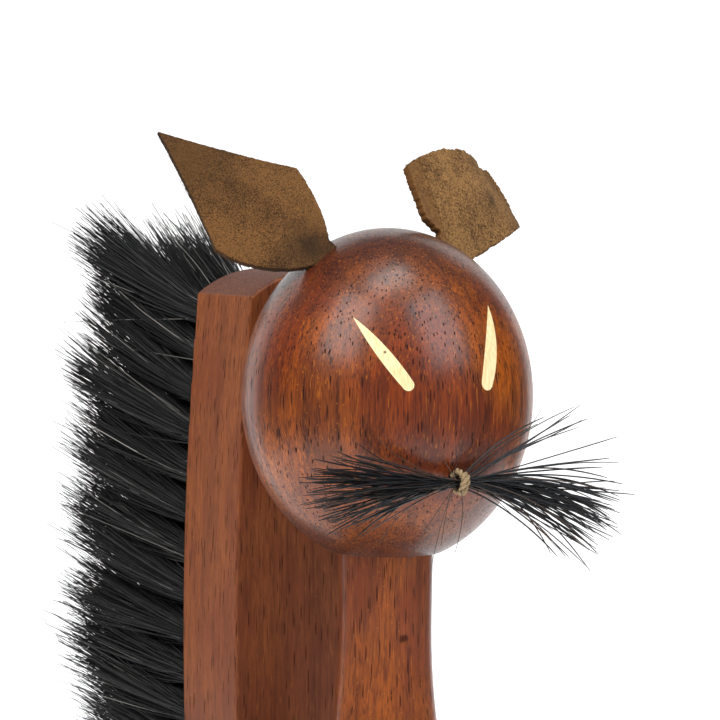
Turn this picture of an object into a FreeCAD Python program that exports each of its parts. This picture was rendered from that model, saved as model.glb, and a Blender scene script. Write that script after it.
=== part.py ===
import FreeCAD, Part
import math
import os

# A clothes brush that stands on a dresser as a turned wooden cat. The cat is a head on a slender
# neck that flares to a bell foot, screwed to a round felted base. The brush itself is a separate
# barrel-shaped wooden block with five rows of bristle tufts. It stands upright behind the cat with
# its lower end in a pocket of the base, and a magnet in the back of the head holds it there. It
# lifts straight up for use.
#
# Units are millimetres. +Z is up, the cat looks along -Y and the bristles point along +Y. The
# origin is on the cat's axis, at the underside of the felt.

Vector = FreeCAD.Vector
UP = Vector(0, 0, 1)
BACKWARD = Vector(0, 1, 0)
FORWARD = Vector(0, -1, 0)
ORIGIN = Vector(0, 0, 0)

# ---------------------------------------------------------------- driving dimensions
# stand
FELT_THICKNESS = 1.5
FELT_INSET = 4.0            # from the base's rim to the felt's rim
BASE_THICKNESS = 12.0
BASE_MARGIN = 6.2           # from the cat's foot, and from the block's back, to the base's rim
BASE_TOP_ROUND = 3.0
BASE_BOTTOM_ROUND = 1.0
POCKET_DEPTH = 6.0
POCKET_CLEARANCE = 0.4      # each side of the block's lower end
SEAT_GAP = 0.3              # under the block's arched end

# cat
BODY_HEIGHT = 83.2          # foot to neck joint
FOOT_GAP = 0.65             # from the bell's rim to the block behind it
FOOT_RIM = 3.5              # height of the rounded rim round the bell
RIM_BULGE = 0.6
WAIST_RADIUS = 8.62         # the neck at its slimmest
WAIST_DROP = 14.5           # from the neck joint down to the waist
JOINT_RADIUS = 8.75         # the neck where it meets the head
HEAD_WIDTH = 54.0
HEAD_HEIGHT = 62.2          # of the whole egg, before its underside is cut flat for the neck
NECK_FLAT_RISE = 2.5        # from the egg's lowest point up to that flat
BACK_FLAT_DEPTH = 0.5       # of the flat on the head's back that faces the block
DOWEL_DIAMETER = 8.0
DOWEL_LENGTH = 36.0

# brush block
BLOCK_GAP = 0.15            # between the flat on the head's back and the block
BLOCK_LENGTH = 130.3        # between the corners, without the arched ends
BLOCK_ARCH = 4.9            # rise of each arched end
BLOCK_WIDTH = 34.2          # at mid length
BLOCK_END_WIDTH = 28.2      # at the corners
BLOCK_THICKNESS = 22.9
BLOCK_BACK_ROUND = 1.6      # round of the outline towards the bristles
BLOCK_FRONT_ROUND = 0.6
BLOCK_CORNER_ROUND = 0.8

# bristles
TUFT_PITCH = 8.0            # along a row
TUFT_LENGTH = 32.0          # from the block's back face to the tips
TUFT_TIP_GAP = 0.8          # between the tips of two tufts of a row, were they parallel
HOLE_RADIUS = 1.9
HOLE_DEPTH = 9.0
ROW_EDGE = 4.5              # from the outer rows to the block's side
END_EDGE = 6.5              # from the last tufts to the block's arched end
SIDE_SPLAY = 0.30           # outward lean of the outer rows, per unit of length
UP_SWEEP = 0.30             # upward lean at mid length, per unit of length
END_FLARE = 0.12            # what the two ends lean away from mid length on top of that
ROWS = (-1.0, -0.5, 0.0, 0.5, 1.0)   # each row's place, from the right side to the left one
ANCHOR_BITE = 0.4           # how far an anchor's two ends reach into the hole's walls
ANCHOR_DEPTH = 2.4
ANCHOR_THICKNESS = 0.45

# magnet catch
MAGNET_DIAMETER = 8.0
MAGNET_THICKNESS = 4.0
KEEPER_DIAMETER = 12.0
KEEPER_THICKNESS = 1.5
KEEPER_EDGE = 0.2           # chamfer round the keeper's face

# screws
BASE_SCREW_GRIP = 22.0      # length in the cat's foot
BASE_SCREW_SHANK = 4.0
BASE_SCREW_HEAD = 8.0
KEEPER_SCREW_WEB = 3.7      # wood left between the keeper's screw and the tuft holes
KEEPER_SCREW_SHANK = 2.4
KEEPER_SCREW_HEAD = 4.6
SLOT_SHARE = 0.14           # width of a screw's slot as a share of its head
POINT_LENGTH = 2.0          # of a wood screw's tip, in shank diameters

# ears: azimuth is measured about the head from straight ahead, positive to the cat's left, and
# latitude up from the head's middle, both as on a globe squeezed to the egg's shape
EAR_AZIMUTH = 87.0
EAR_LATITUDE = 57.5
EAR_THICKNESS = 1.5
EAR_TAB_DEPTH = 7.0
EAR_TAB_TAPER = 2.4         # how much narrower the tab is at its end, on the crown's side
EAR_FACE = Vector(-0.300, -0.851, 0.431)   # which way the right ear's front looks
EAR_KERF = Vector(0.575, 0.199, 0.794)     # along the right ear's slot, towards the crown

# Each ear is cut by eye from a scrap of leather. Its outline runs from the slot's crown end round
# the leaf to the slot's low end. A row is a corner, along the slot and out from it, and how far
# the edge that follows swells outward.
RIGHT_EAR_OUTLINE = (
    ((2.9, 0.1), 0.8),       # crown end of the root
    ((14.0, 11.4), -0.6),    # inner corner
    ((8.2, 36.9), 0.0),      # tip
    ((-8.5, 17.5), 2.2),     # belly
    ((-2.7, 0.2), 0.0),      # low end of the root
)
LEFT_EAR_OUTLINE = (
    ((5.2, -0.4), 0.0),
    ((9.0, -1.6), 0.3),      # notch beside the root
    ((18.2, 4.8), 0.6),
    ((15.6, 16.7), 0.3),
    ((11.2, 24.8), 3.0),
    ((-6.5, 24.0), 0.0),     # outer corner
    ((-2.8, 1.6), 0.0),
)

# eyes: (azimuth, latitude) of the sharp upper end and of the round lower end, and the width
RIGHT_EYE = {"tip": (-47.4, 30.0), "round": (-23.0, 5.7), "width": 2.5}
LEFT_EYE = {"tip": (21.2, 34.3), "round": (8.2, 5.0), "width": 3.2}
EYE_DEPTH = 3.0             # of the mortise under the tangent plane at the eye's middle
EYE_ROUND_SHARE = 0.42      # radius of the round end, as a share of the eye's width
EYE_BELLY_SHARE = 0.22      # swell of each long side, as a share of the eye's width

# nose and whiskers
NOSE_AZIMUTH = -4.7
NOSE_LATITUDE = -23.1
TWINE_RADIUS = 0.65
TWINE_HOLE_DEPTH = 8.0
WHISKER_WAIST = 1.5         # radius of the bundle inside the knot
WHISKER_REACH = 35.5        # from the knot to the tips on either side
WHISKER_FORWARD = 3.3       # how far the tips stand ahead of the knot
WHISKER_DROP = 1.5
WHISKER_FAN_HEIGHT = 9.0    # half the height of the fan at its tips
WHISKER_FAN_DEPTH = 4.0
KNOT_GAP = 0.15             # between the knot and the head

# ---------------------------------------------------------------- places worked out from them
base_bottom = FELT_THICKNESS
base_top = base_bottom + BASE_THICKNESS
head_flat = HEAD_WIDTH / 2 - BACK_FLAT_DEPTH
block_front = head_flat + BLOCK_GAP
block_back = block_front + BLOCK_THICKNESS
foot_radius = block_front - FOOT_GAP - RIM_BULGE
base_centre = Vector(0, (block_back - foot_radius) / 2, 0)
base_radius = (block_back + foot_radius) / 2 + BASE_MARGIN
joint_height = base_top + BODY_HEIGHT
waist_height = joint_height - WAIST_DROP
joint_drop = HEAD_HEIGHT / 2 - NECK_FLAT_RISE
head_centre = Vector(0, 0, joint_height + joint_drop)
block_centre_height = base_top - POCKET_DEPTH + SEAT_GAP + BLOCK_ARCH + BLOCK_LENGTH / 2
tuft_tip_radius = (TUFT_PITCH - TUFT_TIP_GAP) / 2
anchor_width = 2 * (HOLE_RADIUS + ANCHOR_BITE)
knot_radius = WHISKER_WAIST + TWINE_RADIUS
base_screw_size = {
    "length": BASE_THICKNESS + BASE_SCREW_GRIP,
    "shank": BASE_SCREW_SHANK,
    "head": BASE_SCREW_HEAD,
}
keeper_screw_size = {
    "length": BLOCK_THICKNESS - HOLE_DEPTH - ANCHOR_DEPTH / 2 - KEEPER_SCREW_WEB,
    "shank": KEEPER_SCREW_SHANK,
    "head": KEEPER_SCREW_HEAD,
}


# ---------------------------------------------------------------- shared shapes
def face_of(*curves):
    """A flat face bounded by curves that follow one another."""
    return Part.Face(Part.Wire([curve.toShape() for curve in curves]))


def line(start, end):
    return Part.LineSegment(start, end)


def swollen(start, end, swell, outward):
    """The edge from start to end, bulging by swell in the direction outward at its middle."""
    if abs(swell) < 1e-6:
        return line(start, end)
    return Part.Arc(start, (start + end) / 2 + outward * swell, end)


def turned(face):
    """A solid of revolution about the cat's axis."""
    return face.revolve(ORIGIN, UP, 360)


def cylinder(radius, length, start, direction):
    return Part.makeCylinder(radius, length, start, direction)


def wood_screw(size, start, direction):
    """A countersunk wood screw whose flat face is at start, and the space it fills in the wood."""
    length, shank, head = size["length"], size["shank"] / 2, size["head"] / 2
    point = length - POINT_LENGTH * size["shank"]
    profile = face_of(
        line(Vector(0, 0, 0), Vector(head, 0, 0)),
        line(Vector(head, 0, 0), Vector(shank, 0, head - shank)),
        line(Vector(shank, 0, head - shank), Vector(shank, 0, point)),
        line(Vector(shank, 0, point), Vector(0, 0, length)),
        line(Vector(0, 0, length), Vector(0, 0, 0)),
    )
    filled = turned(profile)
    slot_width = SLOT_SHARE * size["head"]
    slot_depth = (head - shank) / 2
    slot = Part.makeBox(2 * head, slot_width, slot_depth, Vector(-head, -slot_width / 2, 0))
    screw = filled.cut(slot)
    turn = FreeCAD.Rotation(UP, direction)
    for shape in (filled, screw):
        shape.Placement = FreeCAD.Placement(start, turn)
    return screw, filled


def egg():
    """The head before any cut: an ellipse turned about the cat's axis, flat underneath."""
    wide, tall = HEAD_WIDTH / 2, HEAD_HEIGHT / 2
    low_angle = -math.asin(joint_drop / tall)
    middle_angle = (low_angle + math.pi / 2) / 2
    on_circle = [Vector(math.cos(angle), 0, math.sin(angle)) for angle in (low_angle, middle_angle)]
    outline = Part.Arc(on_circle[0], on_circle[1], UP).toBSpline()
    for number, pole in enumerate(outline.getPoles(), start=1):
        outline.setPole(number, Vector(pole.x * wide, 0, pole.z * tall))
    bottom = Vector(0, 0, -joint_drop)
    profile = face_of(
        outline,
        line(Vector(0, 0, tall), bottom),
        line(bottom, Vector(wide * math.cos(low_angle), 0, -joint_drop)),
    )
    solid = turned(profile)
    solid.translate(head_centre)
    return solid


def on_head(azimuth, latitude):
    """The point of the head's surface at these two angles, and the outward normal there."""
    a, b = HEAD_WIDTH / 2, HEAD_HEIGHT / 2
    turn, rise = math.radians(azimuth), math.radians(latitude)
    offset = Vector(
        a * math.cos(rise) * math.sin(turn),
        -a * math.cos(rise) * math.cos(turn),
        b * math.sin(rise),
    )
    normal = Vector(offset.x / a**2, offset.y / a**2, offset.z / b**2)
    return head_centre + offset, normal.normalize()


# ---------------------------------------------------------------- stand
def block_half_width(height):
    """Half the block's width at a height: its sides are arcs, widest at mid length."""
    half, mid, end = BLOCK_LENGTH / 2, BLOCK_WIDTH / 2, BLOCK_END_WIDTH / 2
    sag = mid - end
    radius = (half**2 + sag**2) / (2 * sag)
    away = min(abs(height - block_centre_height), half)
    return mid - (radius - math.sqrt(radius**2 - away**2))


def pocket():
    """The space for the block's lower end: its section at the base's top, and a clearance."""
    half_x = block_half_width(base_top) + POCKET_CLEARANCE
    depth_y = BLOCK_THICKNESS + 2 * POCKET_CLEARANCE
    corner = Vector(-half_x, block_front - POCKET_CLEARANCE, base_top - POCKET_DEPTH)
    box = Part.makeBox(2 * half_x, depth_y, POCKET_DEPTH, corner)
    upright = [e for e in box.Edges if abs(e.tangentAt(e.FirstParameter).z) > 0.9]
    return box.makeFillet(min(BLOCK_FRONT_ROUND, BLOCK_CORNER_ROUND), upright)


def base(screw_space):
    disc = cylinder(base_radius, BASE_THICKNESS, base_centre + UP * base_bottom, UP)
    for height, radius in ((base_top, BASE_TOP_ROUND), (base_bottom, BASE_BOTTOM_ROUND)):
        rim = [e for e in disc.Edges
               if abs(e.BoundBox.ZMin - height) < 1e-4 and abs(e.BoundBox.ZMax - height) < 1e-4]
        disc = disc.makeFillet(radius, rim)
    return disc.cut(pocket()).cut(screw_space)


def base_felt():
    return cylinder(base_radius - FELT_INSET, FELT_THICKNESS, base_centre, UP)


# ---------------------------------------------------------------- cat
def dowel():
    start = Vector(0, 0, joint_height - DOWEL_LENGTH / 2)
    return cylinder(DOWEL_DIAMETER / 2, DOWEL_LENGTH, start, UP)


def body(screw_space, dowel_space):
    """The bell: a rounded rim, one long hollow arc up to the waist, and a short swell above it."""
    rim_top = base_top + FOOT_RIM
    rise = waist_height - rim_top
    inset = foot_radius - WAIST_RADIUS
    radius = (rise**2 + inset**2) / (2 * inset)
    half_turn = math.asin(rise / radius) / 2
    middle = Vector(
        WAIST_RADIUS + radius * (1 - math.cos(half_turn)),
        0,
        waist_height - radius * math.sin(half_turn),
    )
    foot_axis = Vector(0, 0, base_top)
    foot_edge = Vector(foot_radius, 0, base_top)
    rim_edge = Vector(foot_radius, 0, rim_top)
    waist = Vector(WAIST_RADIUS, 0, waist_height)
    joint_edge = Vector(JOINT_RADIUS, 0, joint_height)
    joint_axis = Vector(0, 0, joint_height)
    neck_middle = (waist + joint_edge) / 2 - Vector((JOINT_RADIUS - WAIST_RADIUS) / 4, 0, 0)
    profile = face_of(
        line(foot_axis, foot_edge),
        swollen(foot_edge, rim_edge, RIM_BULGE, Vector(1, 0, 0)),
        Part.Arc(rim_edge, middle, waist),
        Part.Arc(waist, neck_middle, joint_edge),
        line(joint_edge, joint_axis),
        line(joint_axis, foot_axis),
    )
    return turned(profile).cut(screw_space).cut(dowel_space)


def ear_blank(side, outline):
    """A flat leather leaf with the tab that goes into its slot. side is -1 for the cat's right."""
    root, _ = on_head(side * EAR_AZIMUTH, EAR_LATITUDE)
    mirror = Vector(-side, 1, 1)
    face = Vector(EAR_FACE.x * mirror.x, EAR_FACE.y, EAR_FACE.z).normalize()
    along = Vector(EAR_KERF.x * mirror.x, EAR_KERF.y, EAR_KERF.z)
    along = (along - face * along.dot(face)).normalize()
    out = face.cross(along)
    out = out if out.z > 0 else out * -1
    back = root - face * (EAR_THICKNESS / 2)

    def place(point):
        return back + along * point[0] + out * point[1]

    corners = [place(point) for point, _ in outline]
    middle = sum(corners[1:], corners[0]) * (1 / len(corners))
    curves = []
    for start, end, (_, swell) in zip(corners, corners[1:], outline):
        chord = (end - start).normalize()
        outward = chord.cross(face)
        if outward.dot((start + end) / 2 - middle) < 0:
            outward = outward * -1
        curves.append(swollen(start, end, swell, outward))
    first, last = corners[0], corners[-1]
    tab_first = first - out * EAR_TAB_DEPTH - along * EAR_TAB_TAPER
    tab_last = last - out * (EAR_TAB_DEPTH + (last - first).dot(out))
    curves += [line(last, tab_last), line(tab_last, tab_first), line(tab_first, first)]
    return face_of(*curves).extrude(face * EAR_THICKNESS)


def eye_blank(eye):
    """A pin-nosed drop cut square through the head's surface: sharp above, round below."""
    (tip, _), (end, _) = on_head(*eye["tip"]), on_head(*eye["round"])
    middle_angles = [(p + q) / 2 for p, q in zip(eye["tip"], eye["round"])]
    middle, normal = on_head(*middle_angles)
    length_way = end - tip
    length_way = (length_way - normal * length_way.dot(normal)).normalize()
    width_way = normal.cross(length_way)
    length = (end - tip).dot(length_way)
    floor = middle - normal * EYE_DEPTH
    start = floor + length_way * (tip - floor).dot(length_way)
    start = start + width_way * (tip - start).dot(width_way)
    round_radius = eye["width"] * EYE_ROUND_SHARE
    swell = width_way * eye["width"] * EYE_BELLY_SHARE
    centre = start + length_way * (length - round_radius)
    sides = [centre + width_way * round_radius, centre - width_way * round_radius]
    bellies = [(start + sides[0]) / 2 + swell, (start + sides[1]) / 2 - swell]
    outline = face_of(
        Part.Arc(start, bellies[0], sides[0]),
        Part.Arc(sides[0], centre + length_way * round_radius, sides[1]),
        Part.Arc(sides[1], bellies[1], start),
    )
    return outline.extrude(normal * (2 * EYE_DEPTH))


def knot_centre():
    surface, normal = on_head(NOSE_AZIMUTH, NOSE_LATITUDE)
    return surface + normal * (knot_radius + TWINE_RADIUS + KNOT_GAP)


def twine_tail():
    """The twine's two ends, laid together, from the knot into their hole in the nose."""
    surface, normal = on_head(NOSE_AZIMUTH, NOSE_LATITUDE)
    reach = (knot_centre() - surface).dot(normal) - knot_radius
    return cylinder(TWINE_RADIUS, TWINE_HOLE_DEPTH + reach, surface + normal * reach, normal * -1)


def whisker_bundle():
    """Bristles tied at their middle: a thin waist that fans out to an oval on either side."""
    knot = knot_centre()
    waist_half = TWINE_RADIUS
    bundle = cylinder(WHISKER_WAIST, 2 * waist_half, knot - Vector(waist_half, 0, 0), Vector(1, 0, 0))
    for side in (-1, 1):
        near = knot + Vector(side * waist_half, 0, 0)
        far = knot + Vector(side * WHISKER_REACH, -WHISKER_FORWARD, -WHISKER_DROP)
        waist = Part.Wire([Part.Circle(near, Vector(1, 0, 0), WHISKER_WAIST).toShape()])
        height, depth = Vector(0, 0, WHISKER_FAN_HEIGHT), Vector(0, WHISKER_FAN_DEPTH, 0)
        fan = Part.Wire([Part.Ellipse(far + height, far + depth, far).toShape()])
        bundle = bundle.fuse(Part.makeLoft([waist, fan], True, True))
    return bundle.removeSplitter()


def whisker_twine(bundle):
    ring = Part.makeTorus(knot_radius, TWINE_RADIUS, knot_centre(), Vector(1, 0, 0))
    return ring.fuse(twine_tail()).cut(bundle)


def head_magnet():
    start = Vector(0, head_flat - MAGNET_THICKNESS, head_centre.z)
    return cylinder(MAGNET_DIAMETER / 2, MAGNET_THICKNESS, start, BACKWARD)


def head(spaces):
    """The egg with a flat at its back for the block, and room for all that is let into it."""
    behind = Part.makeBox(
        HEAD_WIDTH, HEAD_WIDTH, HEAD_HEIGHT,
        Vector(-HEAD_WIDTH / 2, head_flat, head_centre.z - HEAD_HEIGHT / 2),
    )
    shape = egg().cut(behind)
    for space in spaces:
        shape = shape.cut(space)
    return shape


# ---------------------------------------------------------------- brush
def block_blank():
    """The barrel outline, two long side arcs and two arched ends, carried through the thickness."""
    half, end = BLOCK_LENGTH / 2, BLOCK_END_WIDTH / 2
    middle = Vector(0, block_front, block_centre_height)

    def at(x, z):
        return middle + Vector(x, 0, z)

    outline = face_of(
        Part.Arc(at(-end, half), at(0, half + BLOCK_ARCH), at(end, half)),
        Part.Arc(at(end, half), at(BLOCK_WIDTH / 2, 0), at(end, -half)),
        Part.Arc(at(end, -half), at(0, -half - BLOCK_ARCH), at(-end, -half)),
        Part.Arc(at(-end, -half), at(-BLOCK_WIDTH / 2, 0), at(-end, half)),
    )
    blank = outline.extrude(BACKWARD * BLOCK_THICKNESS)
    corners = [e for e in blank.Edges if abs(e.Length - BLOCK_THICKNESS) < 1e-6]
    blank = blank.makeFillet(BLOCK_CORNER_ROUND, corners)
    for place, radius in ((block_back, BLOCK_BACK_ROUND), (block_front, BLOCK_FRONT_ROUND)):
        rim = [e for e in blank.Edges
               if abs(e.BoundBox.YMin - place) < 1e-4 and abs(e.BoundBox.YMax - place) < 1e-4]
        blank = blank.makeFillet(radius, rim)
    return blank


def end_arch(x):
    """How far the arched end stands beyond the block's corners at x."""
    half = BLOCK_END_WIDTH / 2
    radius = (half**2 + BLOCK_ARCH**2) / (2 * BLOCK_ARCH)
    return math.sqrt(radius**2 - x**2) - (radius - BLOCK_ARCH)


def tuft_places(row):
    """Where a row's holes are on the block's back face. Every other row sits half a pitch off."""
    outer_x = BLOCK_END_WIDTH / 2 - ROW_EDGE
    usable = BLOCK_LENGTH / 2 + end_arch(outer_x) - END_EDGE
    count = int(2 * usable / TUFT_PITCH) + 1
    if abs(row) == 0.5:
        count -= 1
    places = []
    for i in range(count):
        height = block_centre_height + (i - (count - 1) / 2) * TUFT_PITCH
        x = row * (block_half_width(height) - ROW_EDGE)
        places.append(Vector(x, block_back, height))
    return places


def tuft_lean(row, place):
    """Sideways and upward travel of a tuft's tip from straight back."""
    along = (place.z - block_centre_height) / (BLOCK_LENGTH / 2)
    return Vector(row * SIDE_SPLAY, 0, UP_SWEEP + END_FLARE * along) * TUFT_LENGTH


def hole(place):
    return cylinder(HOLE_RADIUS, HOLE_DEPTH, place, FORWARD)


def anchor(place):
    """A flat wire driven across the bottom of a hole, over the fold of the tuft."""
    depth = HOLE_DEPTH - ANCHOR_DEPTH / 2
    corner = place + Vector(-anchor_width / 2, -depth - ANCHOR_DEPTH, -ANCHOR_THICKNESS / 2)
    return Part.makeBox(anchor_width, ANCHOR_DEPTH, ANCHOR_THICKNESS, corner)


def tuft(row, place):
    """A bundle of bristle: round in its hole, then spreading and leaning towards its tip."""
    tip = place + BACKWARD * TUFT_LENGTH + tuft_lean(row, place)
    root_ring = Part.Wire([Part.Circle(place, BACKWARD, HOLE_RADIUS).toShape()])
    tip_ring = Part.Wire([Part.Circle(tip, BACKWARD, tuft_tip_radius).toShape()])
    return hole(place).fuse(Part.makeLoft([root_ring, tip_ring], True, True))


def keeper_space():
    start = Vector(0, block_front, head_centre.z)
    return cylinder(KEEPER_DIAMETER / 2, KEEPER_THICKNESS, start, BACKWARD)


def keeper_plate(screw_space):
    plate = keeper_space()
    face_edge = [e for e in plate.Edges if abs(e.BoundBox.YMax - block_front) < 1e-4]
    return plate.makeChamfer(KEEPER_EDGE, face_edge).cut(screw_space)


def brush_block(holes, anchors, screw_space):
    shape = block_blank()
    for space in (Part.makeCompound(holes), Part.makeCompound(anchors), keeper_space(), screw_space):
        shape = shape.cut(space)
    return shape


# ---------------------------------------------------------------- assembly
def build():
    """Every sub-part by node name."""
    parts = {}
    base_screw, base_screw_space = wood_screw(base_screw_size, UP * base_bottom, UP)
    parts["base"] = base(base_screw_space)
    parts["base_felt"] = base_felt()
    parts["base_screw"] = base_screw
    parts["neck_dowel"] = dowel()
    parts["body"] = body(base_screw_space, dowel())

    parts["ear_right"] = ear_blank(-1, RIGHT_EAR_OUTLINE)
    parts["ear_left"] = ear_blank(1, LEFT_EAR_OUTLINE)
    eye_blanks = {"eye_right": eye_blank(RIGHT_EYE), "eye_left": eye_blank(LEFT_EYE)}
    for name, blank in eye_blanks.items():
        parts[name] = blank.common(egg())
    parts["whisker_bundle"] = whisker_bundle()
    parts["whisker_twine"] = whisker_twine(parts["whisker_bundle"])
    parts["head_magnet"] = head_magnet()
    let_in = [parts["ear_right"], parts["ear_left"], *eye_blanks.values()]
    parts["head"] = head(let_in + [dowel(), head_magnet(), twine_tail()])

    keeper_start = Vector(0, block_front, head_centre.z)
    keeper_screw, keeper_screw_space = wood_screw(keeper_screw_size, keeper_start, BACKWARD)
    parts["keeper_plate"] = keeper_plate(keeper_screw_space)
    parts["keeper_screw"] = keeper_screw
    holes, anchors = [], []
    for number, row in enumerate(ROWS, start=1):
        places = tuft_places(row)
        row_anchors = [anchor(place) for place in places]
        tufts = [tuft(row, place).cut(wire) for place, wire in zip(places, row_anchors)]
        parts[f"bristle_row_{number}"] = Part.makeCompound(tufts)
        parts[f"tuft_anchors_{number}"] = Part.makeCompound(row_anchors)
        holes += [hole(place) for place in places]
        anchors += row_anchors
    parts["brush_block"] = brush_block(holes, anchors, keeper_screw_space)
    return parts


os.makedirs("parts", exist_ok=True)
for node, shape in build().items():
    shape.exportStep(f"parts/{node}.step")
    print(f"{node}: {len(shape.Solids)} solid(s), {shape.Volume / 1000:.2f} cm3")
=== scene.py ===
import bpy
import math
import numpy as np
from mathutils import Matrix, Vector


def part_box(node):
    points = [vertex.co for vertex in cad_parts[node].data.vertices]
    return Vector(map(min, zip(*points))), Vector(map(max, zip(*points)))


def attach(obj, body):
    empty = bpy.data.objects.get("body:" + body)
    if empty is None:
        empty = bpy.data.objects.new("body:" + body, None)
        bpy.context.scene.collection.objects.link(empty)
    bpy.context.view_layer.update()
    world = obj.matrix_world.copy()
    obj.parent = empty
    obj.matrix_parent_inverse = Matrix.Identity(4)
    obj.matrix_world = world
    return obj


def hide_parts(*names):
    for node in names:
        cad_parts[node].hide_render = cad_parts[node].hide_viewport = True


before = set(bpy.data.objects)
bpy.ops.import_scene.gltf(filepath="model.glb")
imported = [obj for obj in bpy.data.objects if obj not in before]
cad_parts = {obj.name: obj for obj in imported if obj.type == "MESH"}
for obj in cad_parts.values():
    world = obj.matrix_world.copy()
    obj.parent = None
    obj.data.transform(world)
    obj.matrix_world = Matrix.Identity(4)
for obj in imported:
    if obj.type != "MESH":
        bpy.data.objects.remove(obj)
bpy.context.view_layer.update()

# Lengths are metres and the axes are the part's own: +Z up, the cat looks along -Y, the bristles
# point along +Y. Values that are handier in millimetres are multiplied by MM.
MM = 0.001
UP = np.array([0.0, 0.0, 1.0])
BACKWARD = np.array([0.0, 1.0, 0.0])


# ---------------------------------------------------------------- places taken from the frame
def box_of(node):
    low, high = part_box(node)
    return np.array(low), np.array(high)


_, head_high = box_of("head")
block_low, block_high = box_of("brush_block")
_, body_high = box_of("body")
felt_low, felt_high = box_of("base_felt")

HEAD_WIDTH = 54.0 * MM
HEAD_HEIGHT = 62.2 * MM
head_radius = HEAD_WIDTH / 2
head_rise = HEAD_HEIGHT / 2
head_centre = np.array([0.0, 0.0, head_high[2] - head_rise])
joint_height = body_high[2]
block_back = block_high[1]
block_middle = (block_low[2] + block_high[2]) / 2

# brush
BLOCK_ARCH = 4.9 * MM
BLOCK_WIDTH = 34.2 * MM
BLOCK_END_WIDTH = 28.2 * MM
TUFT_PITCH = 8.0 * MM
TUFT_LENGTH = 32.0 * MM
HOLE_RADIUS = 1.9 * MM
ROW_EDGE = 4.5 * MM
SIDE_SPLAY = 0.30
UP_SWEEP = 0.30
END_FLARE = 0.12
ROWS = {1: -1.0, 2: -0.5, 3: 0.0, 4: 0.5, 5: 1.0}
TUFTS = {1: 16, 2: 15, 3: 16, 4: 15, 5: 16}
block_half_length = (block_high[2] - block_low[2]) / 2 - BLOCK_ARCH

# ears, in millimetres on the plane of each leaf
EAR_AZIMUTH = 87.0
EAR_LATITUDE = 57.5
EAR_THICKNESS = 1.5
EAR_TUCK = 6.0
EAR_TUCK_TAPER = 2.4 * 6.0 / 7.0
EAR_FACE = (-0.300, -0.851, 0.431)
EAR_KERF = (0.575, 0.199, 0.794)
RIGHT_EAR_OUTLINE = (
    ((2.9, 0.1), 0.8),
    ((14.0, 11.4), -0.6),
    ((8.2, 36.9), 0.0),
    ((-8.5, 17.5), 2.2),
    ((-2.7, 0.2), 0.0),
)
LEFT_EAR_OUTLINE = (
    ((5.2, -0.4), 0.0),
    ((9.0, -1.6), 0.3),
    ((18.2, 4.8), 0.6),
    ((15.6, 16.7), 0.3),
    ((11.2, 24.8), 0.3),
    ((8.5, 26.1), 0.0),
    ((7.8, 24.8), 0.0),
    ((5.9, 27.1), 1.45),
    ((-6.5, 24.0), 0.0),
    ((-2.8, 1.6), 0.0),
)

# nose
NOSE_AZIMUTH = -4.7
NOSE_LATITUDE = -23.1
TWINE_RADIUS = 0.65 * MM
WHISKER_WAIST = 1.5 * MM
KNOT_GAP = 0.15 * MM


def on_head(azimuth, latitude):
    """A point of the egg and its outward normal: longitude from straight ahead, latitude upward,
    both stretched to the egg's half width and half height."""
    turn, rise = math.radians(azimuth), math.radians(latitude)
    offset = np.array([
        head_radius * math.cos(rise) * math.sin(turn),
        -head_radius * math.cos(rise) * math.cos(turn),
        head_rise * math.sin(rise),
    ])
    normal = offset / np.array([head_radius, head_radius, head_rise]) ** 2
    return head_centre + offset, normal / np.linalg.norm(normal)


def ear_plane(side):
    """The ear's root on the head, and along the slot, out of it and the way its face looks."""
    root, _ = on_head(side * EAR_AZIMUTH, EAR_LATITUDE)
    face = np.array([-side * EAR_FACE[0], EAR_FACE[1], EAR_FACE[2]])
    face /= np.linalg.norm(face)
    along = np.array([-side * EAR_KERF[0], EAR_KERF[1], EAR_KERF[2]])
    along -= face * along.dot(face)
    along /= np.linalg.norm(along)
    out = np.cross(face, along)
    out = out if out[2] > 0 else -out
    return root, along, out, face


def on_ear(side, along_slot, out_of_slot):
    """A place on an ear's plane, in millimetres of the part's frame."""
    root, along, out, _ = ear_plane(side)
    return tuple(root / MM + along * along_slot + out * out_of_slot)


nose, nose_normal = on_head(NOSE_AZIMUTH, NOSE_LATITUDE)
knot = nose + nose_normal * (WHISKER_WAIST + 2 * TWINE_RADIUS + KNOT_GAP)


# ---------------------------------------------------------------- camera, lights, floor
CAMERA_OFFSET = np.array([-0.2398, -0.3794, 0.0336])    # from the head's middle
CAMERA_ACROSS = np.array([0.8515, -0.5243, 0.0073])
CAMERA_UPWARD = np.array([0.0252, 0.0549, 0.9982])
CAMERA_LENS = 121.47


def square_axes(across, upward):
    """Three unit vectors at right angles: across, upward made square to it, and their cross."""
    across = across / np.linalg.norm(across)
    upward = upward - across * upward.dot(across)
    upward = upward / np.linalg.norm(upward)
    return across, upward, np.cross(across, upward)


def placed(axes, origin):
    matrix = Matrix.Identity(4)
    for column, axis in enumerate(axes):
        for row in range(3):
            matrix[row][column] = axis[row]
    for row in range(3):
        matrix[row][3] = origin[row]
    return matrix


def make_camera():
    camera = bpy.data.objects.new("camera", bpy.data.cameras.new("camera"))
    camera.data.sensor_width = 36
    camera.data.lens = CAMERA_LENS
    camera.data.clip_start = 0.02
    camera.data.clip_end = 50
    bpy.context.scene.collection.objects.link(camera)
    axes = square_axes(CAMERA_ACROSS, CAMERA_UPWARD)
    camera.matrix_world = placed(axes, head_centre + CAMERA_OFFSET)
    bpy.context.scene.camera = camera


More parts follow.
